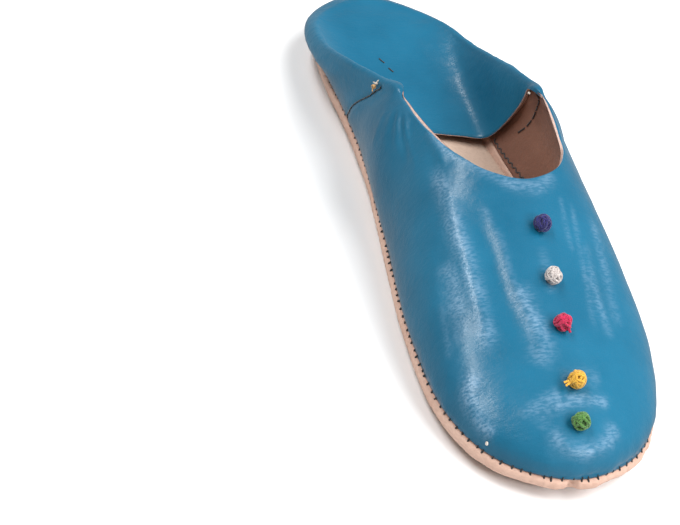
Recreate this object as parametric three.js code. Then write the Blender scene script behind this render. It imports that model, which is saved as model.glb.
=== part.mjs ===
import * as THREE from 'three';
import { mergeVertices } from 'three/addons/utils/BufferGeometryUtils.js';

// A soft leather house slipper for the left foot, in millimetres.
// +Z is up, the toe points to -Y and the back to +Y, and the sole rests on z = 0.
// The back of the upper is trodden down: its leather folds over a ridge and lies on the insole.

// ---- driving dimensions ------------------------------------------------------------------------
const UPPER_THICKNESS = 2.0; // blue leather and its lining together
const SOLE_THICKNESS = 3.0; // sole leather and the welted fold inside it
const SOLE_EDGE = 2.4; // width of the turned-up sole edge where the thread passes
const SOLE_TURN = 3.2; // width of the sole leather's slope inside the turned-up edge
const INSOLE_THICKNESS = 1.8;
const INSOLE_ROUND = 0.5; // rounding of the insole's edge
const FIT_GAP = 0.3; // clearance between pieces that touch
const TOE_END = 126; // from the middle of the foot to the toe's stitch line
const TOE_SWING = 7; // how far the toe swings to the big toe's side
const TOE_SWING_POWER = 1.6; // how late the swing sets in
const STITCH_HEIGHT = 9; // of the stitch line, at its highest
const COLLAR_HEIGHT = 43; // of the collar by the side seams
const COLLAR_LEAN = { by: 2.4, middle: 36, reach: 20 }; // the collar leans to the little toe's side
const BACK_LEAN = { by: -2.6, middle: 95, reach: 25 }; // and the walls of the back the other way
const TOE_SPRING = 2.5; // lift of the underside at the very toe
const HEEL_SPRING = 1.2; // lift of the underside at the very back
const SPRING_REACH = 34; // length of each lifted end
const ARCH_LIFT = 1.0; // lift of the underside under the waist
const ARCH_MIDDLE = 8; // where the arch is highest, and how far it reaches to each side
const ARCH_REACH = 34;
const FOLD_ROUND = 10; // how gently the leather turns over the ridge
const FOLD_SHARE = 0.7; // the most of the fold's own length that this may be
const FOLD_HANG = 0.45; // how straight the leather runs to its cut edge
const STEEP_REACH = 24; // a wall that leans in less than this rises across the foot
const BALL_SHARE = 0.01; // step along the vamp for finding its slope under a button
const BUTTON_RADIUS = 3.5;
const BUTTON_SINK = 0.6; // how much of the ball's height is pressed flat against the leather

// ---- resolution --------------------------------------------------------------------------------
const AROUND = 96; // sections round the foot
const WALL_STEPS = 12; // steps from the stitch line up to the collar or ridge
const FOLD_STEPS = 9; // steps from the ridge to the free edge of the back
const WALL_EASE = 1.4; // above 1, the wall's steps are closer by the stitch line
const FOLD_EASE = 1.45; // above 1, the fold's steps are closer by the ridge
const CURVE_POINTS = 60; // points along one section's curve
const KNEE_LENGTH = 9; // part of a plain wall that uses the fold's steps
const KNEE_FOLD = 14; // a fold longer than this has all of its own steps
const NORMAL_PASSES = 3; // how often the leather's normals are evened, for its tight fold
const LOW_STEPS = 4; // steps of the wall that may not dip below the stitch line
const LOW_CLEAR = 0.2;
const BALL_SIDES = 12;

// ---- outlines ----------------------------------------------------------------------------------
// The sole's rings, from the flat underside out, up and in again to the flat inside. out: how far
// outside the stitch line. up: the part of the way from the underside to the stitch line.
const SOLE_RINGS = [
  { out: -4.5, up: 0 },
  { out: -2, up: 0.07 },
  { out: 0.2, up: 0.3 },
  { out: 2, up: 0.62 },
  { out: 1.9, up: 0.85 },
  { out: SOLE_EDGE / 2, up: 1 },
  { out: -SOLE_EDGE / 2, up: 1 },
  { out: -SOLE_EDGE / 2 - 0.2, up: 0.72 },
  { out: -SOLE_EDGE / 2 - 1.2, up: 0.5 },
];

// ---- sections ----------------------------------------------------------------------------------
// One row per section on the +X side, from the toe round to the back; -X mirrors them.
// stitch: the seam of upper and sole. rim: the collar, and behind the seam the folded ridge.
// edge: the cut edge of the leather, which behind the seam lies inside on the insole.
// wall, lean: how far the leather climbs and bulges at the stitch line.
// reach, slope: how far and how steeply it runs down from the rim.
// lie: 1 where the folded back lies flat at its cut edge, 0 where it hangs.
const SECTIONS = [
  { at: 'toe', stitch: [0, -126, 9], rim: [0, -25.5, 49], edge: [0, -25.5, 49],
    wall: 17, lean: 3.0, reach: 84, slope: 0.34, lie: 0 },
  { at: 'toe_corner', stitch: [25.5, -116, 8.6], rim: [13.5, -20.5, 49], edge: [13.5, -20.5, 49],
    wall: 13.5, lean: 3.3, reach: 75, slope: 0.35, lie: 0 },
  { at: 'toe_side', stitch: [38.5, -92, 7.8], rim: [20.5, -11, 48.5], edge: [20.5, -11, 48.5],
    wall: 12, lean: 3.8, reach: 58, slope: 0.36, lie: 0 },
  { at: 'ball', stitch: [40, -54.5, 7], rim: [24, 0, 47], edge: [24, 0, 47],
    wall: 12.5, lean: 4.2, reach: 34, slope: 0.4, lie: 0 },
  { at: 'instep', stitch: [35, -11.5, 7], rim: [26.8, 13.5, 45.6], edge: [26.8, 13.5, 45.6],
    wall: 14.5, lean: 4.6, reach: 20, slope: 0.5, lie: 0 },
  { at: 'waist', stitch: [29.5, 28.5, 7.8], rim: [28.4, 26, 43.9], edge: [28.4, 26, 43.9],
    wall: 12, lean: 6.5, reach: 15, slope: 0.9, lie: 0 },
  { at: 'seam', stitch: [28, 58.5, 8.7], rim: [30.9, 39.5, 40.2], edge: [24.6, 40, 38],
    wall: 11.5, lean: 6, reach: 14, slope: 1.9, lie: 0 },
  { at: 'heel_side', stitch: [27.8, 87, 9], rim: [34, 84.5, 21.2], edge: [26, 43, 12],
    wall: 8, lean: 5.2, reach: 8, slope: 2.9, lie: 0.6 },
  { at: 'heel_corner', stitch: [22.5, 112, 9], rim: [27, 116.5, 13.2], edge: [14.5, 47.5, 7.6],
    wall: 4.6, lean: 4, reach: 3.6, slope: 2.9, lie: 1 },
  { at: 'heel', stitch: [0, 125.5, 9], rim: [0, 131.8, 13], edge: [0, 49.5, 7.4],
    wall: 3.4, lean: 3.6, reach: 3.2, slope: 2.9, lie: 1 },
];

// Buttons down the middle of the vamp: how far up it from the toe's stitch line, how far to the
// side each one strays, and its colour.
const BUTTONS = [
  { name: 'button_blue', along: 0.92, aside: 0.8, color: 0x2a2387 },
  { name: 'button_white', along: 0.82, aside: 0.2, color: 0xd9d4cf },
  { name: 'button_pink', along: 0.715, aside: -0.8, color: 0xc81a4e },
  { name: 'button_yellow', along: 0.555, aside: -1, color: 0xe0b32a },
  { name: 'button_green', along: 0.4, aside: -2.6, color: 0x2f8a3a },
];

const UP = new THREE.Vector3(0, 0, 1);

// ---- loops round the foot ----------------------------------------------------------------------
// A closed smooth loop through one triple of every section, mirrored to the other side.
function loop(triple, odd) {
  const right = SECTIONS.map(triple);
  const left = right.slice(1, -1).reverse().map(([x, y, z]) => [odd ? -x : x, y, z]);
  const points = [...right, ...left].map((p) => new THREE.Vector3(...p));
  return new THREE.CatmullRomCurve3(points, true, 'catmullrom', 0.5);
}

const stitchLoop = loop((row) => row.stitch, true);
const rimLoop = loop((row) => row.rim, true);
const edgeLoop = loop((row) => row.edge, true);
const wallLoop = loop((row) => [row.wall, row.lean, row.lie], false);
const reachLoop = loop((row) => [row.reach, row.slope, 0], false);

// Outward direction of a loop in plan.
function outward(curve, u) {
  const along = curve.getTangent(u);
  return new THREE.Vector3(along.y, -along.x, 0).normalize();
}

// ---- one section of the upper ------------------------------------------------------------------
// The outer wall from the stitch line to the rim.
function wallCurve(u) {
  const stitch = stitchLoop.getPoint(u);
  const rim = rimLoop.getPoint(u);
  const { x: wall, y: lean } = wallLoop.getPoint(u);
  const { x: reach, y: slope } = reachLoop.getPoint(u);
  const out = outward(stitchLoop, u);
  const away = stitch.clone().sub(rim).setZ(0);
  const plain = THREE.MathUtils.clamp(away.length() / STEEP_REACH, 0, 1);
  away.normalize().multiplyScalar(plain).addScaledVector(out, 1 - plain).normalize();
  const run = reach / Math.hypot(1, slope);
  const lower = stitch.clone().addScaledVector(UP, wall).addScaledVector(out, lean);
  const upper = rim.clone().addScaledVector(away, run).addScaledVector(UP, -run * slope);
  return new THREE.CubicBezierCurve3(stitch, lower, upper, rim);
}

// The leather folded over the ridge and down to its cut edge inside.
function foldCurve(u, wall) {
  const rim = wall.v3;
  const cut = edgeLoop.getPoint(u);
  const edge = cut.x * Math.sign(rim.x) > Math.abs(rim.x) ? rim.clone() : cut;
  const fold = edge.distanceTo(rim);
  const climb = rim.clone().sub(wall.v2).normalize();
  const round = Math.min(FOLD_ROUND, fold * FOLD_SHARE);
  const hang = new THREE.Vector3(edge.x, edge.y, rim.z);
  const rest = new THREE.Vector3(rim.x, rim.y, edge.z);
  const lie = THREE.MathUtils.clamp(wallLoop.getPoint(u).z, 0, 1);
  const toward = hang.lerp(rest, lie).sub(edge);
  const over = rim.clone().addScaledVector(climb, round);
  const under = edge.clone().addScaledVector(toward, FOLD_HANG);
  return new THREE.CubicBezierCurve3(rim, over, under, edge);
}

// Points at given distances along a chain of points.
function walk(chain, distances) {
  const found = [];
  let passed = 0;
  let step = 1;
  for (const distance of distances) {
    let length = chain[step].distanceTo(chain[step - 1]);
    while (passed + length < distance && step < chain.length - 1) {
      passed += length;
      step += 1;
      length = chain[step].distanceTo(chain[step - 1]);
    }
    const part = THREE.MathUtils.clamp((distance - passed) / length, 0, 1);
    found.push(chain[step - 1].clone().lerp(chain[step], part));
  }
  return found;
}

function chainLength(chain) {
  return chain.slice(1).reduce((sum, point, i) => sum + point.distanceTo(chain[i]), 0);
}

// Middle of the leather through one section, stitch line first and cut edge last.
function sectionLine(u) {
  const wall = wallCurve(u);
  const fold = foldCurve(u, wall);
  const wallChain = wall.getPoints(CURVE_POINTS);
  const foldChain = fold.getPoints(CURVE_POINTS).slice(1);
  const wallLength = chainLength(wallChain);
  const foldLength = chainLength([wall.v3, ...foldChain]);
  const knee = wallLength - KNEE_LENGTH * THREE.MathUtils.clamp(1 - foldLength / KNEE_FOLD, 0, 1);
  const whole = wallLength + foldLength;
  const distances = [];
  for (let i = 0; i <= WALL_STEPS; i += 1) {
    distances.push(knee * (i / WALL_STEPS) ** WALL_EASE);
  }
  for (let i = 1; i <= FOLD_STEPS; i += 1) {
    distances.push(knee + (whole - knee) * (i / FOLD_STEPS) ** FOLD_EASE);
  }
  const chain = foldLength > 0 ? [...wallChain, ...foldChain] : wallChain;
  return walk(chain, distances);
}

// ---- shape of the whole foot -------------------------------------------------------------------
// How far a lean moves the collar at one place along the foot.
function leanAt(lean, y) {
  return lean.by * Math.exp(-(((y - lean.middle) / lean.reach) ** 2));
}

// The toe swings sideways and the soft walls lean a little; every piece follows.
function swing(point) {
  const forward = Math.max(0, -point.y) / TOE_END;
  const rise = Math.max(0, point.z - STITCH_HEIGHT) / (COLLAR_HEIGHT - STITCH_HEIGHT);
  const lean = leanAt(COLLAR_LEAN, point.y) + leanAt(BACK_LEAN, point.y);
  const x = point.x - TOE_SWING * forward ** TOE_SWING_POWER + lean * rise;
  return new THREE.Vector3(x, point.y, point.z);
}

// Height of the underside: lifted toe and back, a little arch, flat heel and ball spots.
function floorRise(y) {
  const flat = TOE_END - SPRING_REACH;
  const toe = THREE.MathUtils.clamp((-y - flat) / SPRING_REACH, 0, 1);
  const heel = THREE.MathUtils.clamp((y - flat) / SPRING_REACH, 0, 1);
  const arch = THREE.MathUtils.clamp(1 - Math.abs(y - ARCH_MIDDLE) / ARCH_REACH, 0, 1);
  return TOE_SPRING * toe ** 2 + HEEL_SPRING * heel ** 2 + ARCH_LIFT * arch ** 2 * (3 - 2 * arch);
}

// ---- mesh building -----------------------------------------------------------------------------
// Rings of equal length, one inside the other, joined by faces; first and last rings are left open.
function joinRings(rings) {
  const faces = [];
  const count = rings[0].length;
  for (let r = 0; r < rings.length - 1; r += 1) {
    for (let i = 0; i < count; i += 1) {
      const a = r * count + i;
      const b = r * count + ((i + 1) % count);
      faces.push(a, b, b + count, a, b + count, a + count);
    }
  }
  return faces;
}

// Rungs across a mirrored ring, from the toe point to the heel point.
function capRing(start, count, facingUp) {
  const faces = [];
  const half = count / 2;
  const add = (a, b, c) => (facingUp ? faces.push(a, b, c) : faces.push(a, c, b));
  for (let i = 0; i < half; i += 1) {
    const right = start + i;
    const nextRight = start + i + 1;
    const left = start + ((count - i) % count);
    const nextLeft = start + count - i - 1;
    if (i > 0) {
      add(left, right, nextRight);
    }
    if (i < half - 1) {
      add(left, nextRight, nextLeft);
    }
  }
  return faces;
}

function solid(points, faces) {
  const geometry = new THREE.BufferGeometry();
  const flat = points.flatMap((p) => [p.x, p.y, p.z]);
  geometry.setAttribute('position', new THREE.Float32BufferAttribute(flat, 3));
  geometry.setIndex(faces);
  geometry.computeVertexNormals();
  return geometry;
}

function mesh(name, geometry, color, roughness) {
  const material = new THREE.MeshStandardMaterial({ color, roughness, metalness: 0 });
  material.name = `${name}_material`;
  const part = new THREE.Mesh(geometry, material);
  part.name = name;
  return part;
}

// ---- upper -------------------------------------------------------------------------------------
// Middle surface of the leather: rows[step][section].
function upperMiddle() {
  const lines = [];
  for (let i = 0; i < AROUND; i += 1) {
    lines.push(sectionLine(i / AROUND).map(swing));
  }
  return lines[0].map((_, step) => lines.map((line) => line[step]));
}

// Each vector averaged with its neighbours along the row and across the rows.
function evened(rows) {
  return rows.map((row, step) => row.map((vector, i) => {
    const sum = vector.clone().multiplyScalar(2);
    sum.add(row[(i + AROUND - 1) % AROUND]).add(row[(i + 1) % AROUND]);
    sum.add(rows[Math.max(0, step - 1)][i]);
    sum.add(rows[Math.min(rows.length - 1, step + 1)][i]);
    return sum.divideScalar(6);
  }));
}

// Outward normals of the middle surface.
function rowNormals(rows) {
  return rows.map((row, step) => row.map((_, i) => {
    const before = rows[Math.max(0, step - 1)][i];
    const after = rows[Math.min(rows.length - 1, step + 1)][i];
    const left = row[(i + AROUND - 1) % AROUND];
    const right = row[(i + 1) % AROUND];
    const climb = after.clone().sub(before);
    return right.clone().sub(left).cross(climb).normalize();
  }));
}

function buildUpper() {
  const rows = upperMiddle();
  rows[0] = rows[0].map((p) => p.clone().setZ(p.z + FIT_GAP / 2));
  let normals = rowNormals(rows);
  for (let pass = 0; pass < NORMAL_PASSES; pass += 1) {
    normals = evened(normals);
  }
  const half = UPPER_THICKNESS / 2;
  const skin = (side) => rows.map((row, step) => row.map((p, i) => {
    const moved = p.clone().addScaledVector(normals[step][i], side * half);
    const lowest = rows[0][i].z + (step === 0 ? 0 : LOW_CLEAR);
    if (step === 0) {
      return moved.setZ(lowest);
    }
    return step < LOW_STEPS ? moved.setZ(Math.max(moved.z, lowest)) : moved;
  }));
  const outer = skin(1);
  const inner = skin(-1);
  const rings = [...outer, ...inner.reverse()];
  const faces = joinRings([...rings, rings[0]]).map((v) => v % (rings.length * AROUND));
  return mesh('upper', solid(rings.flat(), faces), 0x2a7fa3, 0.35);
}

// ---- outsole -----------------------------------------------------------------------------------
// A ring that follows the stitch line, moved out by `out`, at a height set per point.
function stitchRing(out, height) {
  const ring = [];
  for (let i = 0; i < AROUND; i += 1) {
    const u = i / AROUND;
    const stitch = stitchLoop.getPoint(u);
    const p = stitch.clone().addScaledVector(outward(stitchLoop, u), out);
    p.z = height(p.y, stitch.z);
    ring.push(swing(p));
  }
  return ring;
}

function buildOutsole() {
  const rings = SOLE_RINGS.map(({ out, up }) => stitchRing(out, (y, z) => (
    THREE.MathUtils.lerp(floorRise(y), z - FIT_GAP / 2, up)
  )));
  const inside = -SOLE_EDGE / 2 - SOLE_TURN;
  rings.push(stitchRing(inside, (y) => floorRise(y) + SOLE_THICKNESS));
  const faces = [
    ...capRing(0, AROUND, false),
    ...joinRings(rings),
    ...capRing((rings.length - 1) * AROUND, AROUND, true),
  ];
  return mesh('outsole', solid(rings.flat(), faces), 0xcf9c86, 0.7);
}

// ---- insole ------------------------------------------------------------------------------------
function buildInsole() {
  const inset = SOLE_EDGE / 2 + SOLE_TURN + FIT_GAP;
  const low = SOLE_THICKNESS + FIT_GAP;
  const high = low + INSOLE_THICKNESS;
  const above = (rise) => (y) => floorRise(y) + rise;
  const rings = [
    stitchRing(-inset - INSOLE_ROUND, above(low)),
    stitchRing(-inset, above(low + INSOLE_ROUND)),
    stitchRing(-inset, above(high - INSOLE_ROUND)),
    stitchRing(-inset - INSOLE_ROUND, above(high)),
  ];
  const faces = [
    ...capRing(0, AROUND, false),
    ...joinRings(rings),
    ...capRing((rings.length - 1) * AROUND, AROUND, true),
  ];
  return mesh('insole', solid(rings.flat(), faces), 0xd8b79c, 0.8);
}

// ---- buttons -----------------------------------------------------------------------------------
// A ball of knotted thread resting on the vamp.
function buildButton({ name, along, aside, color }) {
  const wall = wallCurve(0);
  const foot = swing(wall.getPoint(along));
  const ahead = swing(wall.getPoint(along - BALL_SHARE));
  const slope = foot.clone().sub(ahead).normalize();
  const normal = new THREE.Vector3(1, 0, 0).cross(slope).normalize();
  const ball = new THREE.SphereGeometry(BUTTON_RADIUS, BALL_SIDES, BALL_SIDES / 2 + 2);
  ball.deleteAttribute('uv');
  ball.deleteAttribute('normal');
  const geometry = mergeVertices(ball);
  geometry.rotateX(Math.PI / 2);
  const position = geometry.attributes.position;
  for (let i = 0; i < position.count; i += 1) {
    position.setZ(i, Math.max(position.getZ(i), BUTTON_SINK - BUTTON_RADIUS));
  }
  const lift = UPPER_THICKNESS / 2 + FIT_GAP + BUTTON_RADIUS - BUTTON_SINK;
  const turn = new THREE.Quaternion().setFromUnitVectors(UP, normal);
  geometry.applyQuaternion(turn);
  const middle = foot.clone().addScaledVector(normal, lift);
  geometry.translate(middle.x + aside, middle.y, middle.z);
  geometry.computeVertexNormals();
  return mesh(name, geometry, color, 0.85);
}

// ---- the slipper -------------------------------------------------------------------------------
const slipper = new THREE.Group();
slipper.name = 'slipper';
slipper.add(buildOutsole());
slipper.add(buildUpper());
slipper.add(buildInsole());
BUTTONS.forEach((button) => slipper.add(buildButton(button)));

// The origin is at the middle of the bottom of the slipper's box.
const box = new THREE.Box3().setFromObject(slipper, true);
const middle = box.getCenter(new THREE.Vector3());
slipper.children.forEach((part) => part.geometry.translate(-middle.x, -middle.y, -box.min.z));

export default slipper;
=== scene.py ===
import math
import random

import bmesh
import bpy
import numpy as np
from mathutils import Matrix, Vector, noise
from mathutils.bvhtree import BVHTree
from mathutils.kdtree import KDTree


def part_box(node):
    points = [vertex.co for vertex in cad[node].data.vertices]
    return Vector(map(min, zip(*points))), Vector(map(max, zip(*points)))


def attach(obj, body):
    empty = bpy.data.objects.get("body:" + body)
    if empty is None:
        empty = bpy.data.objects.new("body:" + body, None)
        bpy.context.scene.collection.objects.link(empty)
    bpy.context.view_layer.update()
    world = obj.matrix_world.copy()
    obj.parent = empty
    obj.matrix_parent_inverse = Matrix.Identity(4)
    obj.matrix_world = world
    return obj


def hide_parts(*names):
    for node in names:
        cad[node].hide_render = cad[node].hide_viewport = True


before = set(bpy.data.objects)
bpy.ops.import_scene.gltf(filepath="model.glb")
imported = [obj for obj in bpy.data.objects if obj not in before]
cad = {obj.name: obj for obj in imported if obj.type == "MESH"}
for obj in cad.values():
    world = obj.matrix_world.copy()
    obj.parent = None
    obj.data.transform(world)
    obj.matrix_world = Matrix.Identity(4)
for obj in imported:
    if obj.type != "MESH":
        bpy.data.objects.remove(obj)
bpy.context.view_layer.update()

MM = 0.001

# ---- camera -----------------------------------------------------------------
# A long lens looking down on the vamp from the toe end and the big toe's side,
# rolled a little, so that the trodden-down back shows behind the collar.
camera_data = bpy.data.cameras.new("camera")
camera_data.sensor_width = 36
camera_data.lens = 102.1
camera_data.clip_start = 0.05
camera = bpy.data.objects.new("camera", camera_data)
view_right = Vector((0.9222, -0.2981, 0.2465))
view_down = Vector((-0.0258, -0.6832, -0.7298))
view_ahead = view_right.cross(view_down)
camera_turn = Matrix((view_right, -view_down, -view_ahead)).transposed().to_4x4()
camera.matrix_world = Matrix.Translation((-0.3147, -0.4727, 0.4377)) @ camera_turn
bpy.context.scene.collection.objects.link(camera)
bpy.context.scene.camera = camera

# ---- upper ------------------------------------------------------------------
# Glossy blue leather, lined: the vamp and the quarter are sewn at two side
# seams, and the quarter folds over behind and lies trodden down on the insole.
# The shape is the solid upper's own, refined, with its creases pressed in.
COLUMNS = 96  # of the upper's grid, counted round the foot from the toe
SKIN = 22  # rows from the stitch line to the cut edge, on each face of the leather
ROWS = 2 * SKIN
RIDGE_ROW = 14  # the row where the back is folded over
SEAM_COLUMNS = (32, 64)  # columns of the two side seams
STITCHES = 176  # whip stitches round the sole
BLUE, LINING, CUT = 0, 1, 2  # the upper's material slots


def leather_copy(name, node):
    """A new object with the node's shape, its loose triangles joined."""
    mesh = cad[node].data.copy()
    mesh.name = name
    mesh.materials.clear()
    piece = bpy.data.objects.new(name, mesh)
    bpy.context.scene.collection.objects.link(piece)
    shape = bmesh.new()
    shape.from_mesh(mesh)
    for layer in list(shape.loops.layers.uv.values()):
        shape.loops.layers.uv.remove(layer)
    bmesh.ops.remove_doubles(shape, verts=shape.verts, dist=0.004 * MM)
    return piece, shape


def straight_on(vert, edge):
    """The edge that carries on through a vertex where six edges meet."""
    beside = {e for f in edge.link_faces for e in f.edges if vert in e.verts}
    near = {e for b in beside for f in b.link_faces for e in f.edges if vert in e.verts}
    return next(e for e in vert.link_edges if e not in near)


def walk_round(vert, edge):
    """Vertices met on going straight on from a vertex until back at it."""
    met = [vert]
    here = edge.other_vert(vert)
    while here is not met[0]:
        met.append(here)
        edge = straight_on(here, edge)
        here = edge.other_vert(here)
    return met


def neighbours(vert):
    return {e.other_vert(vert) for e in vert.link_edges}


def woven_grid(shape, start, along, up):
    """Rows of vertices of a ring-shaped mesh, from two steps at a corner."""
    side = walk_round(start, shape.edges.get((start, up)))
    grid = [walk_round(start, shape.edges.get((start, along)))]
    for corner in side[1:]:
        below = grid[-1]
        line = [corner]
        for column in range(1, len(below)):
            both = neighbours(line[-1]) & neighbours(below[column])
            line.append(next(v for v in both if v is not below[column - 1]))
        grid.append(line)
    return grid


def drop_diagonals(shape, grid):
    """Turns the grid's pairs of triangles into four-sided faces."""
    rows, columns = len(grid), len(grid[0])
    across = []
    for r in range(rows):
        for c in range(columns):
            a, b = grid[r][c], grid[(r + 1) % rows][(c + 1) % columns]
            edge = shape.edges.get((a, b)) or shape.edges.get(
                (grid[r][(c + 1) % columns], grid[(r + 1) % rows][c])
            )
            if edge:
                across.append(edge)
    bmesh.ops.dissolve_edges(shape, edges=list(dict.fromkeys(across)), use_verts=False)


def number_faces(shape, grid, slots):
    """Gives each face its row's slot and a UV that counts columns and rows."""
    rows, columns = len(grid), len(grid[0])
    place = {v: (r, c) for r, row in enumerate(grid) for c, v in enumerate(row)}
    counts = shape.loops.layers.uv.new("rows")
    for face in shape.faces:
        spots = [place[v] for v in face.verts]
        r0 = 0 if {rows - 1, 0} <= {r for r, _ in spots} else None
        c0 = 0 if {columns - 1, 0} <= {c for _, c in spots} else None
        for loop in face.loops:
            r, c = place[loop.vert]
            r = rows if r == r0 else r
            c = columns if c == c0 else c
            loop[counts].uv = (c, r)
        low_row = min(rows if r == r0 else r for r, _ in spots)
        low_column = min(columns if c == c0 else c for _, c in spots)
        face.material_index = slots(low_row, low_column)
        face.smooth = True


def refine(piece, levels):
    """Subdivides a piece and keeps the result as its mesh."""
    rounding = piece.modifiers.new("rounding", "SUBSURF")
    rounding.levels = rounding.render_levels = levels
    rounding.uv_smooth = "NONE"
    bpy.context.view_layer.update()
    shown = piece.evaluated_get(bpy.context.evaluated_depsgraph_get())
    fine = bpy.data.meshes.new_from_object(shown)
    piece.modifiers.clear()
    piece.data = fine


def points_of(mesh):
    flat = np.zeros(len(mesh.vertices) * 3)
    mesh.vertices.foreach_get("co", flat)
    return flat.reshape(-1, 3) / MM


def normals_of(mesh):
    flat = np.zeros(len(mesh.vertices) * 3)
    mesh.vertex_normals.foreach_get("vector", flat)
    return flat.reshape(-1, 3)


def set_points(mesh, points):
    mesh.vertices.foreach_set("co", (points * MM).ravel())
    mesh.update()


def counts_of(mesh):
    """Column and row of every vertex, from the UV that counts them."""
    loops = np.zeros(len(mesh.loops), int)
    mesh.loops.foreach_get("vertex_index", loops)
    flat = np.zeros(len(mesh.loops) * 2)
    mesh.uv_layers["rows"].data.foreach_get("uv", flat)
    found = np.zeros((len(mesh.vertices), 2))
    found[loops] = flat.reshape(-1, 2)
    return found[:, 0], found[:, 1]


def upper_slot(row, column):
    if row in (SKIN - 1, ROWS - 1):
        return CUT
    return BLUE if row < SKIN else LINING


def smooth_path(path, steps=6):
    """A path with more points, rounded at its given ones."""
    path = [Vector(p) for p in path]
    ends = [2 * path[0] - path[1], *path, 2 * path[-1] - path[-2]]
    found = []
    for a, b, c, d in zip(ends, ends[1:], ends[2:], ends[3:]):
        for step in range(steps):
            t = step / steps
            found.append(
                0.5 * (2 * b + (c - a) * t + (2 * a - 5 * b + 4 * c - d) * t * t
                       + (3 * b - a - 3 * c + d) * t ** 3)
            )
    return np.array([*found, path[-1]])


def near_path(points, path):
    """How far every point is from a path, and the part of the path it is by."""
    best = np.full(len(points), 1e9)
    part = np.zeros(len(points))
    lengths = np.linalg.norm(np.diff(path, axis=0), axis=1)
    passed = 0.0
    for a, b, length in zip(path, path[1:], lengths):
        t = np.clip((points - a) @ (b - a) / length ** 2, 0, 1)
        gap = np.linalg.norm(points - a - t[:, None] * (b - a), axis=1)
        nearer = gap < best
        best[nearer] = gap[nearer]
        part[nearer] = (passed + t[nearer] * length) / lengths.sum()
        passed += length
    return best, part


def fold_mark(points, path, width, height, ends=0.25):
    """A soft ridge (or trough, where height is below 0) that fades at its ends."""
    gap, part = near_path(points, smooth_path(path))
    fade = np.clip(np.minimum(part, 1 - part) / ends, 0, 1) if ends else 1.0
    fade = fade * fade * (3 - 2 * fade)
    return height * fade * np.exp(-((gap / width) ** 2))


def ripple(points, size, seed, stretch=(1, 1, 1)):
    """Smooth noise between about -1 and 1; size is one wave in millimetres."""
    scaled = points * (np.array(stretch) / size) + seed
    return np.array([noise.noise(Vector(p)) for p in scaled])


upper, shape = leather_copy("upper_leather", "upper")
# The grid is counted from the tip of the toe, low on the outside, and goes to +X.
TOE_TIP_HEIGHT = 9.4 * MM
TOE_TIP_BEFORE = -110 * MM
toe_verts = [v for v in shape.verts if v.co.z < TOE_TIP_HEIGHT and v.co.y < TOE_TIP_BEFORE]
start = min(toe_verts, key=lambda v: v.co.y)
along = max(neighbours(start) & set(toe_verts), key=lambda v: v.co.x)
above = [v for v in neighbours(start) if v.co.z > start.co.z + 0.1 * MM]
up = min(above, key=lambda v: abs(v.co.x - start.co.x))
grid = woven_grid(shape, start, along, up)
drop_diagonals(shape, grid)
number_faces(shape, grid, upper_slot)
STITCH_CREASE = 0.6  # how firmly rounding keeps the line that is stitched
hold = shape.edges.layers.float.new("crease_edge")
for row in (0, SKIN - 1, SKIN, ROWS - 1):
    line = grid[row]
    for a, b in zip(line, line[1:] + line[:1]):
        shape.edges.get((a, b))[hold] = 1.0 if row else STITCH_CREASE
stitch_line = np.array([(v.co + w.co) / 2 / MM for v, w in zip(grid[0], grid[ROWS - 1])])
shape.to_mesh(upper.data)
shape.free()
refine(upper, 2)

points = points_of(upper.data)
out = normals_of(upper.data)
column, row = counts_of(upper.data)
skin = (row < SKIN - 0.6) & (row > 0.1)
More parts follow.
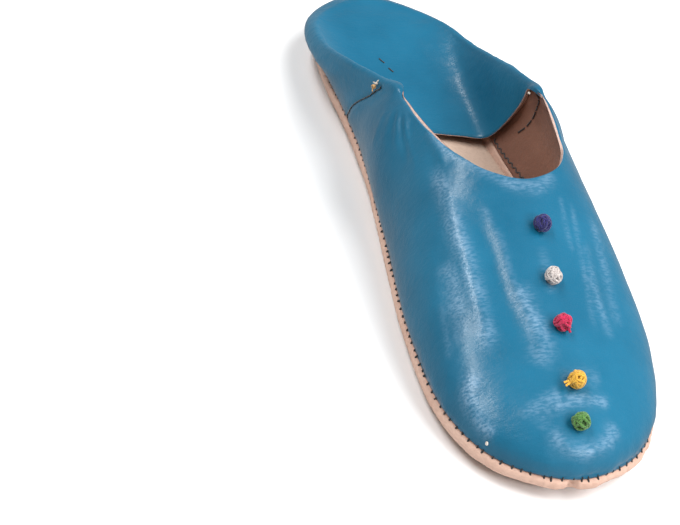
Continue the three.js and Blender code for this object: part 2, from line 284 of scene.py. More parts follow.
# Ridges and troughs of the worn leather: path, half width, height, in millimetres.
MARKS = [
    # the shoulder on the big toe's side, and the second ridge beside it
    ([(-25, -18, 43.4), (-26, -46, 38.2), (-26.5, -65, 33.7), (-27.5, -84, 28.6),
      (-30, -89, 26)], 3.2, 0.75),
    ([(-34, -93, 23.2), (-37.3, -99.5, 18.6), (-34.8, -110, 16.1)], 3.0, 0.4),
    ([(-17.5, -30, 45), (-17, -53, 40), (-17.5, -72, 35), (-19, -90, 29.5)], 3.8, -0.5),
    ([(-16.6, -34, 45.1), (-13.5, -50, 41.2), (-13.8, -64, 37.2), (-11.5, -76, 34.4),
      (-10.5, -87, 31.5), (-13.2, -102, 27.3)], 3.2, 0.9),
    ([(-31, -40, 34.5), (-33.5, -62, 29), (-36, -80, 22)], 4.0, -0.5),
    # the outer side's faint folds
    ([(19.2, -40, 42.5), (16.8, -69, 35.4), (17.3, -88, 29.9)], 2.4, 0.4),
    ([(23.5, -45, 38.5), (22, -68, 33), (23, -86, 27)], 2.6, -0.45),
    ([(13.3, -35, 46), (12.1, -55, 40.5), (11, -68, 37)], 2.2, 0.25),
    # round the lowest button: the leather is drawn in there
    ([(-16, -112, 23.4), (-9.5, -112.5, 24.7), (-1.8, -111, 25.6), (5, -112.5, 25)], 1.7, 0.55),
    ([(-13, -116.5, 22.4), (-3.6, -117, 24), (6, -116.5, 23.6)], 2.2, -0.4),
    ([(-16, -117, 20.9), (-13.5, -121, 20.4), (-8.9, -125, 18.9), (0, -125.3, 19.2),
      (5, -122.5, 20.6), (8.5, -118, 21.8)], 2.0, 0.6),
    ([(-26.7, -111.8, 20.7), (-16.7, -109.4, 24.5), (-8.4, -106.8, 26.6)], 1.3, 0.4),
    ([(-24, -106, 23.6), (-15, -105, 26), (-8, -103.5, 27.6)], 1.2, 0.25),
    ([(2.5, -106.8, 27), (10, -108.5, 25.8), (18, -109.5, 23)], 1.3, 0.3),
    ([(-6.6, -94, 30.5), (-5.3, -98.3, 29.3), (-6.5, -101.5, 28.4)], 1.0, 0.3),
    ([(-1, -96, 30.3), (2.5, -99.5, 29.3), (5, -101, 28.4)], 1.0, -0.25),
    # pull wrinkles below the near corner of the collar
    ([(-28.5, 21, 42.5), (-32, 14, 36), (-33.5, 8, 29)], 1.1, 0.22),
    ([(-27.6, 19, 43.5), (-30.3, 9, 38.5), (-30.8, 0, 34.5)], 1.0, 0.25),
    ([(-26.6, 17, 44.6), (-28.6, 5, 41), (-29.2, -12, 37.5)], 1.2, 0.25),
    ([(-28.1, 20, 43), (-31.2, 11.5, 37.4), (-32.2, 4, 32)], 0.9, -0.3),
    ([(-27.1, 18, 44), (-29.4, 7, 39.8), (-30, -5, 36)], 0.9, -0.3),
    ([(-29.6, 24, 41), (-33.2, 19, 33), (-33.6, 15, 25)], 1.2, 0.35),
    ([(-23.5, 4, 46), (-22.8, -7, 46.2), (-23, -17, 45.4)], 2.0, 0.5),
    ([(-20, 1, 47.5), (-19, -10, 47.8), (-17, -19, 47.5)], 1.6, -0.35),
    # the trodden-down back: a soft fold across it and dents beside the ridge
    ([(17.5, 112, 15), (20.5, 96, 14), (22, 82, 13), (21.5, 68, 11)], 8.0, 0.5),
    ([(10, 108, 13.5), (13, 92, 12), (14, 76, 10.5)], 7.0, -0.3),
    ([(26.5, 76, 22), (27, 66, 20), (27, 56, 19)], 3.0, 0.5),
    # wrinkles of the near side wall under the folded back
    ([(-33, 62, 28), (-34, 67, 22), (-33, 71, 15)], 1.6, 0.4),
    ([(-33.4, 74, 25), (-34.4, 79, 19), (-33, 83, 14)], 1.5, 0.4),
    ([(-33.6, 86, 21), (-34, 90, 16), (-33, 93, 12)], 1.4, 0.3),
]
lift = np.zeros(len(points))
for path, width, height in MARKS:
    lift += fold_mark(points, path, width, height)


def along_row(at_row, columns):
    """Points of the leather on one row, at the given columns."""
    return np.array([points[np.argmin((column - c) ** 2 + 4 * (row - at_row) ** 2)] for c in columns])


# Where the folded back starts on the outer side, it hangs close to the wall.
HUG_MIDDLE, HUG_WIDTH = 33.2, 2.8  # in columns
HUG_OUT, HUG_TO_TOE = 4.5, 3.0
HUG_GAP = 1.0  # kept from the wall
fold_columns = np.arange(26, 42, 0.5)
wall_x = np.interp(column, fold_columns, along_row(RIDGE_ROW, fold_columns)[:, 0])
folded = np.clip((np.minimum(row, ROWS - 1 - row) - RIDGE_ROW) / 7, 0, 1)
hug = np.exp(-(((column - HUG_MIDDLE) / HUG_WIDTH) ** 2)) * folded * folded
wall_limit = np.maximum(points[:, 0], wall_x - HUG_GAP)
points[:, 0] = np.minimum(points[:, 0] + hug * HUG_OUT, wall_limit)
points[:, 1] -= hug * HUG_TO_TOE

# Both side seams: a groove from the ridge down to the sole, bowed to the toe.
SEAM_BOW = 0.75  # in columns, at mid-height
GROOVE_WIDTH, GROOVE_DEPTH = 1.0, 0.5
seams = []
for at, toward_toe in zip(SEAM_COLUMNS, (-1, 1)):
    path = []
    for at_row in (*range(RIDGE_ROW, 0, -1), 0.4):
        bow = SEAM_BOW * math.sin(math.pi * at_row / RIDGE_ROW) ** 0.7
        at_column = at + toward_toe * bow
        path.append(points[np.argmin((column - at_column) ** 2 + 4 * (row - at_row) ** 2)])
    seams.append(smooth_path(path, 3))
    lift += fold_mark(points, path, GROOVE_WIDTH, -GROOVE_DEPTH, ends=0.02)
    beside_groove = np.array(path) + (0, -2.6, 0)
    lift += fold_mark(points, beside_groove, 1.6, 0.3, ends=0.02)

# The ridge where the back is trodden down, creased to a narrow crest.
CREST_WIDTH, CREST_HEIGHT = 1.5, 0.65
crest = along_row(RIDGE_ROW - 0.2, np.arange(33.5, 63, 1.5))
lift += fold_mark(points, crest, CREST_WIDTH, CREST_HEIGHT, ends=0.05)

# Where every vertex stands along the stitch line, and the pull of its stitches.
loop = np.vstack([stitch_line, stitch_line[:1]])
loop_steps = np.linalg.norm(np.diff(loop, axis=0), axis=1)
loop_passed = np.concatenate([[0], np.cumsum(loop_steps)])
loop_length = loop_passed[-1]
travel = np.interp(column % COLUMNS, range(COLUMNS + 1), loop_passed)
pitch = loop_length / STITCHES
PUCKER_HEIGHT, PUCKER_REACH = 0.55, 75  # most at the toe, dying out along the line
STITCH_PULL = 0.3
toe_share = np.exp(-((np.minimum(travel, loop_length - travel) / PUCKER_REACH) ** 2))
low = np.exp(-((row / 2.2) ** 2))
pucker = ripple(np.stack([travel, travel * 0, row * 0.6], 1), 5.0, 3.7)
lift += skin * low * toe_share * PUCKER_HEIGHT * pucker
lift -= skin * np.exp(-((row / 0.9) ** 2)) * STITCH_PULL

# Uneven leather everywhere: broad hollows and a little crumple, and more of it
# on the folded back and on the slack lining.
HOLLOWS, CRUMPLE, GRAIN = 0.45, 0.12, 0.10
SCOOP_CRUMPLE, LINING_SLACK = 0.2, 0.3
lift += HOLLOWS * ripple(points, 30, 11.3) + CRUMPLE * ripple(points, 9, 5.1)
scoop = np.clip((points[:, 1] - 45) / 20, 0, 1) * (row > RIDGE_ROW - 1) * (row < SKIN)
lift += scoop * SCOOP_CRUMPLE * ripple(points, 5, 4.4, (0.45, 1.7, 1))
lift += GRAIN * ripple(points, 3.5, 8.4, (1, 2.2, 1)) * (0.5 + 0.5 * ripple(points, 22, 2.6))
points += out * (lift * skin)[:, None]
slack = (row > SKIN + 1) & (row < ROWS - 4) & (column < SEAM_COLUMNS[0])
points += out * (slack * LINING_SLACK * ripple(points, 9, 2.2, (0.5, 0.5, 2)))[:, None]

# The cut edge is pared thin, most of all along the folded back's free edge.
BACK_PARED, VAMP_PARED = 1.15, 0.5
COLLAR_SLANT = 0.8
back = (column > SEAM_COLUMNS[0]) & (column < SEAM_COLUMNS[1])
at_cut = row > SKIN - 0.6
pared = np.exp(-(((row - SKIN) / 1.6) ** 2)) * at_cut * np.where(back, BACK_PARED, VAMP_PARED)
points -= out * pared[:, None]
# Along the vamp's collar the cut slants up towards the inside, and shows.
collar = np.clip((np.minimum(column, COLUMNS - column) - 8) / 8, 0, 1) * ~back
points[:, 2] += collar * COLLAR_SLANT * np.exp(-(((row - SKIN) / 0.8) ** 2)) * at_cut
points[:, 2] -= collar * COLLAR_SLANT * np.exp(-(((row - SKIN + 1) / 0.6) ** 2)) * skin
set_points(upper.data, points)

# Streaks where the finish is crazed by rubbing, with a pale highlight painted over them:
# path, half width in millimetres, and how strong the crazing and the painted highlight are.
RUB_AND_HIGHLIGHT_STREAKS = [
    ([(-24.5, -12, 44.8), (-25.2, -19, 42.8), (-26.3, -47, 37.9), (-26.6, -65, 33.6),
      (-27.6, -84, 28.6), (-30.2, -89, 26.3)], 3.0, 1.0),
    ([(-33, -92, 24), (-35.5, -96, 21), (-37.3, -100, 18.6), (-34.8, -110, 16.1),
      (-31.8, -114.5, 16)], 3.0, 1.0),
    ([(-31, -50, 33), (-32, -66, 29.5), (-33.5, -80, 24.5)], 3.2, 0.7),
    ([(-16.6, -34, 45.1), (-13.5, -50, 41.2), (-13.8, -64, 37.2), (-11, -76, 34.4)], 1.5, 0.5),
    ([(-13, -66, 36.8), (-11, -76, 34.4), (-10.2, -87, 31.5), (-12, -98, 28.4)], 3.6, 1.0),
    ([(-17.5, -13, 48.3), (-12, -22, 48.5), (-4, -29, 48.5), (6, -31, 48.5),
      (15, -24, 48.5)], 2.6, 0.75),
    ([(-22, 2, 46.5), (-20.5, -8, 47.3), (-19, -16, 47.6)], 2.0, 0.8),
    ([(-14, -112, 24), (-9, -110.5, 25.2), (-3, -109.5, 26), (4, -110, 25.8),
      (8, -112, 25)], 2.0, 1.0),
    ([(-8, -103, 28), (0, -102.5, 28.7), (8, -103.5, 28)], 3.2, 0.5),
    ([(-16, -117, 21), (-13.5, -121, 20.5), (-9, -125, 19), (0, -125.5, 19),
      (5, -122.5, 20.5), (9, -117, 22)], 2.6, 1.0),
    ([(-24, -112, 21.4), (-17, -109.4, 24.4), (-8.4, -106.8, 26.6)], 2.0, 0.7),
    ([(0.5, -55, 42), (0, -62, 40), (-0.8, -72, 37.5)], 1.8, 0.5),
    ([(19.2, -50, 40.7), (16.8, -70, 35.4), (17.3, -88, 29.9)], 1.8, 0.5),
    ([(22, 20, 45), (26, 6, 45), (25, -10, 45.5)], 2.4, 0.5),
    # long faint streaks of crazing and painted highlight down the outer side of the vamp
    ([(18.5, -35, 45.5), (16.5, -48.5, 41.5), (15, -62, 38), (13, -75, 34.5),
      (11.5, -86, 31.5)], 1.2, 0.4),
    ([(26.5, -38, 41.5), (25.5, -52, 38), (24, -68, 34), (22.5, -83, 30)], 2.2, 0.5),
    ([(14.5, -33.5, 47), (13, -45, 43.5), (12, -56.5, 40)], 1.0, 0.4),
    # small streaks of crazing and painted highlight beside the shoulder and by the lowest button
    ([(-32, -62.5, 31), (-35, -72.5, 27), (-35.5, -82, 25)], 1.4, 0.4),
    ([(-36.5, -63, 27), (-38, -74, 24.5), (-39, -85, 21)], 1.4, 0.3),
    ([(-13, -110.5, 25), (-16.5, -113, 23.5), (-19, -117, 21)], 2.5, 0.4),
]
# Mask of the streaks, for both their crazing and their painted highlight.
rubbed_and_highlit = np.zeros(len(points))
for path, width, amount in RUB_AND_HIGHLIGHT_STREAKS:
    rubbed_and_highlit = np.maximum(rubbed_and_highlit, fold_mark(points, path, width, amount, ends=0.12))
rub_and_highlight = upper.data.attributes.new("rub_and_highlight", "FLOAT", "POINT")
rub_and_highlight.data.foreach_set("value", rubbed_and_highlit * skin)


def node(tree, kind, values=(), **settings):
    """A shader node; each value is a number, a colour or another node's output."""
    made = tree.nodes.new("ShaderNode" + kind)
    for name, value in settings.items():
        setattr(made, name, value)
    for key, value in dict(values).items():
        if isinstance(value, bpy.types.NodeSocket):
            tree.links.new(value, made.inputs[key])
        else:
            made.inputs[key].default_value = value
    return made


def surface(name, **values):
    """A material with its shader's plain values set, its tree and its place."""
    material = bpy.data.materials.new(name)
    material.use_nodes = True
    tree = material.node_tree
    shader = tree.nodes["Principled BSDF"]
    for key, value in values.items():
        shader.inputs[key.replace("_", " ")].default_value = value
    place = node(tree, "TexCoord").outputs["Object"]
    return material, tree, shader, place


def speckle(tree, place, wave, stretch=(1, 1, 1), detail=2.0, roughness=0.5):
    """Noise whose waves are about so many millimetres long."""
    size = [part / (wave * MM) for part in stretch]
    turned = node(tree, "Mapping", {"Vector": place, "Scale": size})
    values = {"Vector": turned.outputs[0], "Scale": 1.0, "Detail": detail, "Roughness": roughness}
    return node(tree, "TexNoise", values).outputs["Fac"]


def spread(tree, value, low, high, to_low=0.0, to_high=1.0):
    """A value's range widened or narrowed to another, and held inside it."""
    values = {"Value": value, "From Min": low, "From Max": high, "To Min": to_low, "To Max": to_high}
    return node(tree, "MapRange", values).outputs["Result"]


def blend(tree, share, first, second, how="MIX"):
    """Two colours mixed by a share, which is a number or another output."""
    made = node(tree, "Mix", {0: share}, data_type="RGBA", blend_type=how)
    for socket, value in ((made.inputs[6], first), (made.inputs[7], second)):
        if isinstance(value, bpy.types.NodeSocket):
            tree.links.new(value, socket)
        else:
            socket.default_value = (*value, 1)
    return made.outputs[2]


def times(tree, a, b):
    return node(tree, "Math", {0: a, 1: b}, operation="MULTIPLY").outputs[0]


def bumped(tree, height, depth, under=None):
    """A bump of so many millimetres, over another bump."""
    values = {"Height": height, "Distance": depth * MM, "Strength": 1.0}
    if under is not None:
        values["Normal"] = under
    return node(tree, "Bump", values).outputs["Normal"]


# The dyed and waxed outside: patchy blue, pores, fine crazing in the rubs, and a pale highlight
# painted over the rubs.
blue, tree, shader, place = surface(
    "blue_leather",
    Sheen_Weight=0.1,
    Sheen_Roughness=0.4,
    Coat_Weight=0.34,
    Coat_Roughness=0.24,
    Specular_IOR_Level=0.28,
)
worn_and_highlit = node(tree, "Attribute", attribute_name="rub_and_highlight").outputs["Fac"]
patches = spread(tree, speckle(tree, place, 38, detail=3), 0.35, 0.65)
dye = blend(tree, patches, (0.003, 0.093, 0.172), (0.008, 0.133, 0.237))
cloudy = spread(tree, speckle(tree, place, 6, detail=5, roughness=0.65), 0.3, 0.7)
dye = blend(tree, times(tree, cloudy, 0.45), dye, (0.005, 0.115, 0.208))
crazing = speckle(tree, place, 1.3, (0.55, 1.7, 1.3), detail=2, roughness=0.5)
islands = speckle(tree, place, 7, (1, 0.7, 1), detail=3)
hatch = spread(tree, crazing, 0.4, 0.6, 0.3, 1.0)
broken = times(tree, hatch, spread(tree, islands, 0.3, 0.6, 0.3, 1.0))
# A pale greyish blue painted into the streaks as their highlight, broken up by the crazing.
pale = times(tree, times(tree, worn_and_highlit, broken), 0.55)
dye = blend(tree, pale, dye, (0.26, 0.40, 0.55))
tree.links.new(dye, shader.inputs["Base Color"])
tree.links.new(spread(tree, cloudy, 0, 1, 0.30, 0.42), shader.inputs["Roughness"])
pores = node(tree, "TexVoronoi", {"Vector": place, "Scale": 1100.0}, feature="DISTANCE_TO_EDGE")
pore_height = spread(tree, pores.outputs["Distance"], 0.0, 0.12)
creasing = speckle(tree, place, 5.0, (1.0, 2.0, 1.4), detail=5, roughness=0.6)
relief = bumped(tree, creasing, 0.30)
crazed = times(tree, crazing, spread(tree, worn_and_highlit, 0, 1, 0.15, 1.0))
relief = bumped(tree, crazed, 0.2, relief)
relief = bumped(tree, pore_height, 0.015, relief)
tree.links.new(relief, shader.inputs["Normal"])
coat_relief = bumped(tree, times(tree, crazing, worn_and_highlit), 0.22, bumped(tree, creasing, 0.15))
tree.links.new(coat_relief, shader.inputs["Coat Normal"])

# The lining: undyed sheepskin, softly napped and a little grubby, with painted shade darkening it
# lower down.
lining, tree, shader, place = surface("lining_leather", Roughness=0.85, Sheen_Weight=0.15)
smudges = spread(tree, speckle(tree, place, 14, detail=4), 0.35, 0.7)
nap = speckle(tree, place, 0.9, detail=4, roughness=0.7)
tone = blend(tree, smudges, (0.33, 0.155, 0.10), (0.22, 0.095, 0.058))
tone = blend(tree, spread(tree, nap, 0.35, 0.65, 0.0, 0.5), tone, (0.26, 0.12, 0.072))
height_up = node(tree, "SeparateXYZ", {"Vector": place}).outputs["Z"]
# Darker lower down inside the shoe, towards the insole: painted shade, in the lining's shaded tone.
tone = blend(tree, spread(tree, height_up, 12 * MM, 34 * MM, 0.5, 0.0), tone, (0.12, 0.048, 0.03))
tree.links.new(tone, shader.inputs["Base Color"])
tree.links.new(bumped(tree, nap, 0.25, bumped(tree, smudges, 0.4)), shader.inputs["Normal"])

# The raw cut edge, where leather and lining show as fibres.
raw, tree, shader, place = surface("cut_edge", Roughness=0.8)
fibres = speckle(tree, place, 0.8, (1, 1, 3), detail=4)
tone = blend(tree, spread(tree, fibres, 0.35, 0.65), (0.62, 0.46, 0.40), (0.46, 0.32, 0.27))
tree.links.new(tone, shader.inputs["Base Color"])
tree.links.new(bumped(tree, fibres, 0.3), shader.inputs["Normal"])

for material in (blue, lining, raw):
    upper.data.materials.append(material)
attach(upper, "root")
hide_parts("upper")

# ---- outsole ----------------------------------------------------------------
# Natural pinkish sole leather, wetted and turned up into a soft pillowed edge,
# which the whip stitches draw in, with gathers and a pinch at the toe.
LINE_STEPS = COLUMNS * 8  # steps along the stitch line


def refined_copy(name, node, bend, levels):
    """The node's shape with its triangles paired up where they bend less."""
    piece, shape = leather_copy(name, node)
    bmesh.ops.join_triangles(
        shape, faces=shape.faces, cmp_seam=False, cmp_sharp=False, cmp_uvs=False,
        angle_face_threshold=math.radians(bend), angle_shape_threshold=math.radians(179),
    )
    for face in shape.faces:
        face.smooth = True
    shape.to_mesh(piece.data)
    shape.free()
    refine(piece, levels)
    return piece


sole = refined_copy("sole_leather", "outsole", 50, 3)
points = points_of(sole.data)
line_tree = KDTree(LINE_STEPS)
loop_fine = []
for i in range(LINE_STEPS):
    at = loop_length * i / LINE_STEPS
    loop_fine.append(Vector([float(np.interp(at, loop_passed, loop[:, k])) for k in range(3)]))
    line_tree.insert(loop_fine[-1], i)
line_tree.balance()


def outward_of(i):
    """Level direction away from the foot at a step of the stitch line."""
    ahead = loop_fine[(i + 4) % len(loop_fine)] - loop_fine[i - 4]
    return Vector((ahead.y, -ahead.x, 0)).normalized()


def beside_line(points):
    """Each point's nearest step of the stitch line, the way out and how far out."""
    found = [line_tree.find(p)[1] for p in points]
    outs = np.array([outward_of(i) for i in range(LINE_STEPS)])[found]
    return found, outs, ((points - np.array(loop_fine)[found]) * outs).sum(1)


DIMPLE_WIDTH, DIMPLE_DEPTH = 0.7, 0.45  # where a stitch draws the edge in
GATHER_HEIGHT, WAVE_HEIGHT, PILLOW_HEIGHT = 0.3, 0.3, 0.7
PINCH_AT, PINCH_WIDTH, PINCH_DEPTH = -3.0, 1.6, 2.4  # beside the tip of the toe
SHOULDER_AT, SHOULDER_WIDTH, SHOULDER_HEIGHT = 6.5, 4.0, 0.7  # swells beside the pinch
found, outs, beside = beside_line(points)
travel = np.array(found) * loop_length / LINE_STEPS
depth_below = np.array(loop_fine)[found][:, 2] - points[:, 2]
side = np.clip((beside + 0.5) / 1.5, 0, 1) * np.clip((points[:, 2] - 1.0) / 3.0, 0, 1)
phase = (travel / pitch) % 1.0
dimple = np.exp(-((np.minimum(phase, 1 - phase) * pitch / DIMPLE_WIDTH) ** 2))
near_top = np.exp(-((depth_below / 2.6) ** 2))
from_toe = np.minimum(travel, loop_length - travel)
gathers = ripple(np.stack([travel, travel * 0, points[:, 2] * 0.25], 1), 4.2, 9.2)
waves = ripple(np.stack([travel, travel * 0, points[:, 2] * 0.2], 1), 16, 1.4)
pillow = np.exp(-((from_toe / 70) ** 2)) * np.exp(-(((depth_below - 4.5) / 2.5) ** 2))
from_pinch = (travel - PINCH_AT + loop_length / 2) % loop_length - loop_length / 2
push = -DIMPLE_DEPTH * dimple * near_top + 0.25 * near_top
push += GATHER_HEIGHT * gathers * np.exp(-((from_toe / 60) ** 2)) + 0.12 * gathers
push += WAVE_HEIGHT * waves + PILLOW_HEIGHT * pillow
push += SHOULDER_HEIGHT * np.exp(-((abs(from_pinch) - SHOULDER_AT) / SHOULDER_WIDTH) ** 2)
push -= PINCH_DEPTH * np.exp(-((from_pinch / PINCH_WIDTH) ** 2))
points += outs * (push * side)[:, None]
set_points(sole.data, points)

hide, tree, shader, place = surface("sole_leather", Roughness=0.62, Specular_IOR_Level=0.35)
stains = spread(tree, speckle(tree, place, 20, detail=4), 0.35, 0.65)
tone = blend(tree, stains, (0.66, 0.45, 0.355), (0.58, 0.37, 0.285))
fleck = speckle(tree, place, 1.6, (1, 1, 2.5), detail=5, roughness=0.65)
tone = blend(tree, spread(tree, fleck, 0.4, 0.7, 0.0, 0.5), tone, (0.50, 0.31, 0.235))
height_up = node(tree, "SeparateXYZ", {"Vector": place}).outputs["Z"]
# Darker towards the bottom of the sole's edge.
low_darkening = spread(tree, height_up, 0.0, 2.5 * MM, 0.55, 0.0)
tone = blend(tree, low_darkening, tone, (0.36, 0.22, 0.16))
tree.links.new(tone, shader.inputs["Base Color"])
wrinkles = speckle(tree, place, 3.0, (1.2, 1.2, 0.6), detail=4)
relief = bumped(tree, fleck, 0.12, bumped(tree, wrinkles, 0.5))
tree.links.new(relief, shader.inputs["Normal"])
sole.data.materials.append(hide)
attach(sole, "root")
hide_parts("outsole")

# ---- insole -----------------------------------------------------------------
# Thin smooth undyed leather laid inside, its rim turned up against the lining.
RIM_OUT, RIM_UP = 2.9, 0.7
insole = refined_copy("insole_leather", "insole", 60, 2)
points = points_of(insole.data)
found, outs, beside = beside_line(points)
rim = np.clip((beside + 8.0) / 3.0, 0, 1)
rim = rim * rim * (3 - 2 * rim)
points += outs * (rim * RIM_OUT)[:, None]
points[:, 2] += rim * RIM_UP + 0.12 * ripple(points, 18, 6.6)
set_points(insole.data, points)
bed, tree, shader, place = surface("insole_leather", Roughness=0.55, Specular_IOR_Level=0.4)
stains = spread(tree, speckle(tree, place, 24, detail=5), 0.35, 0.7)
tone = blend(tree, stains, (0.66, 0.50, 0.40), (0.56, 0.41, 0.325))
fleck = speckle(tree, place, 1.2, detail=5, roughness=0.65)
tone = blend(tree, spread(tree, fleck, 0.45, 0.7, 0.0, 0.4), tone, (0.47, 0.33, 0.25))
tree.links.new(tone, shader.inputs["Base Color"])
tree.links.new(bumped(tree, fleck, 0.10, bumped(tree, stains, 0.3)), shader.inputs["Normal"])
insole.data.materials.append(bed)
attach(insole, "root")
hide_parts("insole")

# ---- whip stitches ----------------------------------------------------------
# Waxed black thread that whips the upper to the turned-up sole edge, each
# stitch lying over the joint and sinking into both leathers at its ends.
def skin_tree(*pieces):
    """The pieces' surface as one tree for casting rays at."""
    joined = bmesh.new()
    for piece in pieces:
        joined.from_mesh(piece.data)
    tree = BVHTree.FromBMesh(joined)
    joined.free()
    return tree


def thread(name, paths, radius, material, closed=False, sides=1):
    """Threads through the given points in millimetres, as one curve object."""
    curve = bpy.data.curves.new(name, "CURVE")
    curve.dimensions = "3D"
    curve.bevel_depth = radius * MM
    curve.bevel_resolution = sides
    curve.resolution_u = 3
    curve.use_fill_caps = True
    for path in paths:
        line = curve.splines.new("NURBS")
        line.points.add(len(path) - 1)
        for point, place in zip(line.points, path):
            point.co = (*(Vector(place) * MM), 1)
        line.order_u = 3
        line.use_endpoint_u = not closed
        line.use_cyclic_u = closed
    curve.materials.append(material)
    piece = bpy.data.objects.new(name, curve)
    bpy.context.scene.collection.objects.link(piece)
    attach(piece, "root")
    return piece


def yarn(name, color, shade, wave=0.5, rough=0.75):
    """Twisted thread, with shade painted between its plies and a little sheen."""
    material, tree, shader, place = surface(name, Roughness=rough, Sheen_Weight=0.3)
    plies = speckle(tree, place, wave, (1, 1, 1.7), detail=3, roughness=0.6)
    tone = blend(tree, spread(tree, plies, 0.38, 0.62), shade, color)
    tree.links.new(tone, shader.inputs["Base Color"])
    tree.links.new(bumped(tree, plies, 0.25), shader.inputs["Normal"])
    return material


black_yarn = yarn("black_thread", (0.022, 0.020, 0.022), (0.006, 0.006, 0.007), rough=0.5)
# One stitch from its top down: height over the stitch line, and how proud it lies.
WHIP = ((0.5, -0.5), (0.3, 0.05), (0.0, 0.2), (-0.3, 0.15), (-0.6, 0.0), (-0.8, -0.5))
CLEAR = 9  # a start well outside the sole, for finding its surface
outer_skin = skin_tree(upper, sole)
draw = random.Random(7)
stitches = []
for i in range(STITCHES):
    at = ((i + draw.uniform(-0.13, 0.13)) / STITCHES) * LINE_STEPS
    base = loop_fine[int(at) % LINE_STEPS]
    away = outward_of(int(at) % LINE_STEPS)
    ahead = Vector((away.y, -away.x, 0))
    slant = draw.uniform(-0.2, 0.1)
    reach = draw.uniform(0.8, 1.1)
    path = []
    for height, sink in WHIP:
        start = base + away * CLEAR + Vector((0, 0, height * reach)) + ahead * slant * height
        hit = outer_skin.ray_cast(start * MM, -away, 16 * MM)[0]
        if hit is not None:
            path.append(hit / MM + away * sink)
    if len(path) > 3:
        stitches.append(path)
thread("whip_stitches", stitches, 0.38, black_yarn)

# ---- side seams -------------------------------------------------------------
# Dark thread down each side seam, where the quarter meets the vamp, with
# ochre and white ends of thread fastened off where it comes to the ridge.
def laid_on(tree, path, above):
    """A path moved to the nearest surface, and a little off it."""
    found = []
    for point in path:
        hit, normal, _, _ = tree.find_nearest(Vector(point) * MM)
        found.append(hit / MM + normal * above)
    return found


RUN = 8  # points of the seam's path to a stitch
STITCH_DIP = Vector((0, 0, 0.1))  # each stitch starts a little lower
upper_skin = skin_tree(upper)
runs = []
for seam in seams:
    dense = smooth_path(seam[4:-2], 3)
    for k in range(0, len(dense) - RUN, RUN):
        bit = laid_on(upper_skin, dense[k:k + RUN], 0.16)
        runs.append([bit[0] - STITCH_DIP, *bit[1:]])
thread("side_seam_thread", runs, 0.34, black_yarn)
ochre_yarn = yarn("ochre_thread", (0.62, 0.36, 0.12), (0.30, 0.15, 0.05))
pale_yarn = yarn("pale_thread", (0.72, 0.66, 0.58), (0.42, 0.36, 0.30))
top = Vector(max(seams[1], key=lambda p: p[2]))


def knot(middle, size, turns, seed, tails=()):
    """A small tangle of thread round a point, with loose tails."""
    twist = random.Random(seed)
    paths = []
    for _ in range(turns):
        first = Vector([twist.uniform(-1, 1) for _ in range(3)]).normalized()
        second = first.orthogonal().normalized()
        third = first.cross(second)
        ring = []
        for k in range(9):
            angle = math.tau * 0.85 * k / 8
            wide = size * twist.uniform(0.75, 1.1)
            ring.append(middle + (second * math.cos(angle) + third * math.sin(angle)) * wide)
        paths.append(ring)
    for tail in tails:
        end = middle + Vector(tail)
        bend = middle + Vector(tail) * 0.5 + Vector([twist.uniform(-0.5, 0.5) for _ in range(3)])
        paths.append([middle, bend, end])
    return paths


ochre_ends = knot(top + Vector((-1.9, 0.2, -1.6)), 0.75, 4, 3, [(-0.6, -1.4, -1.2)])
thread("seam_knot_ochre", ochre_ends, 0.22, ochre_yarn)
pale_ends = knot(top + Vector((-0.7, 1.0, -0.9)), 0.55, 3, 5, [(0.9, 0.5, 1.2), (-1.2, 0.4, 0.5)])
thread("seam_knot_pale", pale_ends, 0.2, pale_yarn)
thread("toe_speck", knot(Vector((-34.4, -114.5, 13)), 0.5, 3, 8), 0.24, pale_yarn)

# The outer side's seam shows inside too, from the ridge down under the fold.
inner_runs = []
inner = [(31, 28, 40), (33, 29, 36), (34.5, 30.5, 31), (35, 32, 25), (34.5, 35, 18), (33, 40, 11)]
inner = laid_on(upper_skin, smooth_path(inner, 6), 0.15)
for k in range(0, len(inner) - 8, 4):
    inner_runs.append([inner[k] - STITCH_DIP, *inner[k + 1:k + 4]])
thread("inner_seam_thread", inner_runs, 0.36, black_yarn)
thread("inner_knot_pale", knot(Vector((30.6, 30.5, 41.2)), 0.45, 3, 9), 0.2, pale_yarn)

# Two dark stitches left in the folded back.
marks = [
    [(-3.0, 88.0, 13), (-2.4, 86.6, 13), (-1.4, 85.6, 13)],
    [(-0.4, 83.0, 12), (0.4, 81.6, 12), (1.0, 80.8, 12)],
]
thread("back_stitches", [laid_on(upper_skin, mark, 0.1) for mark in marks], 0.28, black_yarn)

# The lining is tacked to the insole with a zigzag of dark thread, sewn on the
# outer side only as far back as the folded back leaves it in sight.
TACKS_FROM, TACKS_TO = -30, 52
TACK_LOW, TACK_HIGH = 3.4, 5.0  # over the insole
WALL_REACH = 6.5  # what is met further in than this isn't the wall
inside_skin = skin_tree(upper, insole)
tacks = []
for i in range(0, LINE_STEPS, 2):
    base = loop_fine[i]
    if base.x < 0 or not TACKS_FROM < base.y < TACKS_TO:
        continue
    away = outward_of(i)
    above = base - away * 4 + Vector((0, 0, 2.5))
    level = inside_skin.ray_cast(above * MM, Vector((0, 0, -1)), 20 * MM)[0]
    if level is None or level.z > (base.z + 1.5) * MM:
        continue
    level = level.z / MM + (TACK_HIGH if (i // 2) % 2 else TACK_LOW)
    start = base - away * 15
    hit = inside_skin.ray_cast(Vector((start.x, start.y, level)) * MM, away, 30 * MM)[0]
    if hit is not None and (hit / MM - base).dot(away) > -WALL_REACH:
        tacks.append(hit / MM - away * 0.1)
thread("lining_tacks", [tacks], 0.3, black_yarn)
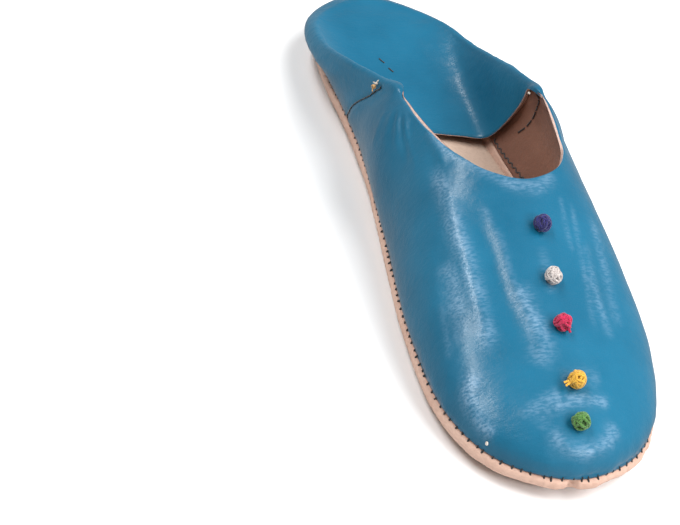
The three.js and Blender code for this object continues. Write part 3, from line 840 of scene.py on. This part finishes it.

# ---- buttons ----------------------------------------------------------------
# Five little balls of knotted thread sewn down the vamp; each is a core wound
# over and over with cord, and two have the ends of the cord left out.
# Each ball: its colour, its lit tone, its darker tone painted as shade between the plies, and the
# cord's loose ends.
BALLS = [
    ("blue", (0.014, 0.012, 0.15), (0.004, 0.003, 0.05), ()),
    ("white", (0.66, 0.60, 0.57), (0.36, 0.31, 0.29), ()),
    ("pink", (0.64, 0.008, 0.085), (0.30, 0.002, 0.03), ((1.6, -3.6, -1.2), (-3.2, 0.6, -0.6))),
    ("yellow", (0.80, 0.46, 0.045), (0.50, 0.24, 0.012), ((-5.0, -0.8, -0.4), (-4.6, -1.8, -0.9))),
    ("green", (0.12, 0.30, 0.055), (0.02, 0.09, 0.012), ()),
]
BALL_RADIUS = 2.75
CORD_RADIUS = 0.5
BALL_HEIGHT = 2.3  # of its middle over the leather
TURNS, TURN_POINTS = 11, 14
for number, (color, lit_tone, shaded_tone, tails) in enumerate(BALLS):
    low, high = [Vector(corner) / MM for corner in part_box("button_" + color)]
    middle = laid_on(upper_skin, [(low + high) / 2], BALL_HEIGHT)[0]
    wool = yarn("thread_" + color, lit_tone, shaded_tone, 0.45, 0.7)
    shape = bmesh.new()
    bmesh.ops.create_icosphere(shape, subdivisions=3, radius=(BALL_RADIUS - 0.75) * MM)
    for vert in shape.verts:
        bulge = 0.25 * noise.noise(vert.co * 700 + Vector((number * 9, 0, 0)))
        vert.co = vert.co * (1 + bulge) + middle * MM
    for face in shape.faces:
        face.smooth = True
    mesh = bpy.data.meshes.new("button_core_" + color)
    shape.to_mesh(mesh)
    shape.free()
    mesh.materials.append(wool)
    core = bpy.data.objects.new("button_core_" + color, mesh)
    bpy.context.scene.collection.objects.link(core)
    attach(core, "root")
    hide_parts("button_" + color)
    wind = random.Random(40 + number)
    turns = []
    for _ in range(TURNS):
        axis = Vector((wind.uniform(-1, 1), wind.uniform(-1, 1), wind.uniform(-0.9, 0.9)))
        axis.normalize()
        second = axis.orthogonal().normalized()
        third = axis.cross(second)
        offset = axis * wind.uniform(-1.9, 1.9)
        ring_radius = math.sqrt(BALL_RADIUS ** 2 - offset.length ** 2) * wind.uniform(0.86, 1.06)
        wobble = wind.uniform(0, math.tau)
        ring = []
        for j in range(TURN_POINTS):
            angle = math.tau * j / TURN_POINTS
            wave = 0.28 * math.sin(3 * angle + wobble)
            spot = offset + (second * math.cos(angle) + third * math.sin(angle)) * ring_radius
            ring.append(middle + spot * (1 + wave * 0.12) + axis * wave)
        turns.append(ring)
    winding = thread("button_cord_" + color, turns, CORD_RADIUS, wool, closed=True, sides=2)
    if tails:
        ends = []
        for tail in tails:
            bend = middle + Vector(tail) * 0.75 + Vector((0, 0, 0.5))
            ends.append([middle + Vector(tail) * 0.4, bend, middle + Vector(tail)])
        loose = thread("button_tail_" + color, ends, 0.42, wool, sides=2)

# ---- floor and light --------------------------------------------------------
# A plain pale floor under a wide soft sky, with a long narrow panel above on the
# left that gives the leather its gleams, and a small one in front of the toe.
ground, tree, shader, place = surface("pale_floor", Roughness=0.9)
shader.inputs["Base Color"].default_value = (0.86, 0.86, 0.86, 1)
shape = bmesh.new()
bmesh.ops.create_grid(shape, x_segments=1, y_segments=1, size=6)
mesh = bpy.data.meshes.new("floor")
shape.to_mesh(mesh)
shape.free()
mesh.materials.append(ground)
floor = bpy.data.objects.new("floor", mesh)
bpy.context.scene.collection.objects.link(floor)
floor.visible_glossy = False


def soft_panel(name, place, aim, size, power):
    """A rectangle of light at a place, turned towards its aim."""
    light = bpy.data.lights.new(name, "AREA")
    light.shape = "RECTANGLE"
    light.size, light.size_y = size
    light.energy = power
    panel = bpy.data.objects.new(name, light)
    toward = Vector(aim) - Vector(place)
    panel.location = place
    panel.rotation_euler = toward.to_track_quat("-Z", "Y").to_euler()
    bpy.context.scene.collection.objects.link(panel)


soft_panel("panel_left", (-0.5, 0.2, 0.97), (0, -0.02, 0.03), (0.9, 0.2), 8.5)
soft_panel("panel_front", (0.4, -0.9, 0.7), (0, 0, 0.03), (0.5, 0.25), 5.5)
lamp = bpy.data.lights.new("soft_sky", "SUN")
lamp.energy = 3.4
lamp.angle = math.radians(50)
sky = bpy.data.objects.new("soft_sky", lamp)
sky.rotation_euler = Vector((-0.6, 0.15, -1.0)).to_track_quat("-Z", "Y").to_euler()
sky.visible_glossy = False
bpy.context.scene.collection.objects.link(sky)
world = bpy.data.worlds.new("studio")
world.use_nodes = True
world.node_tree.nodes["Background"].inputs["Color"].default_value = (1, 1, 1, 1)
world.node_tree.nodes["Background"].inputs["Strength"].default_value = 0.28
bpy.context.scene.world = world
bpy.context.scene.view_settings.view_transform = "Standard"
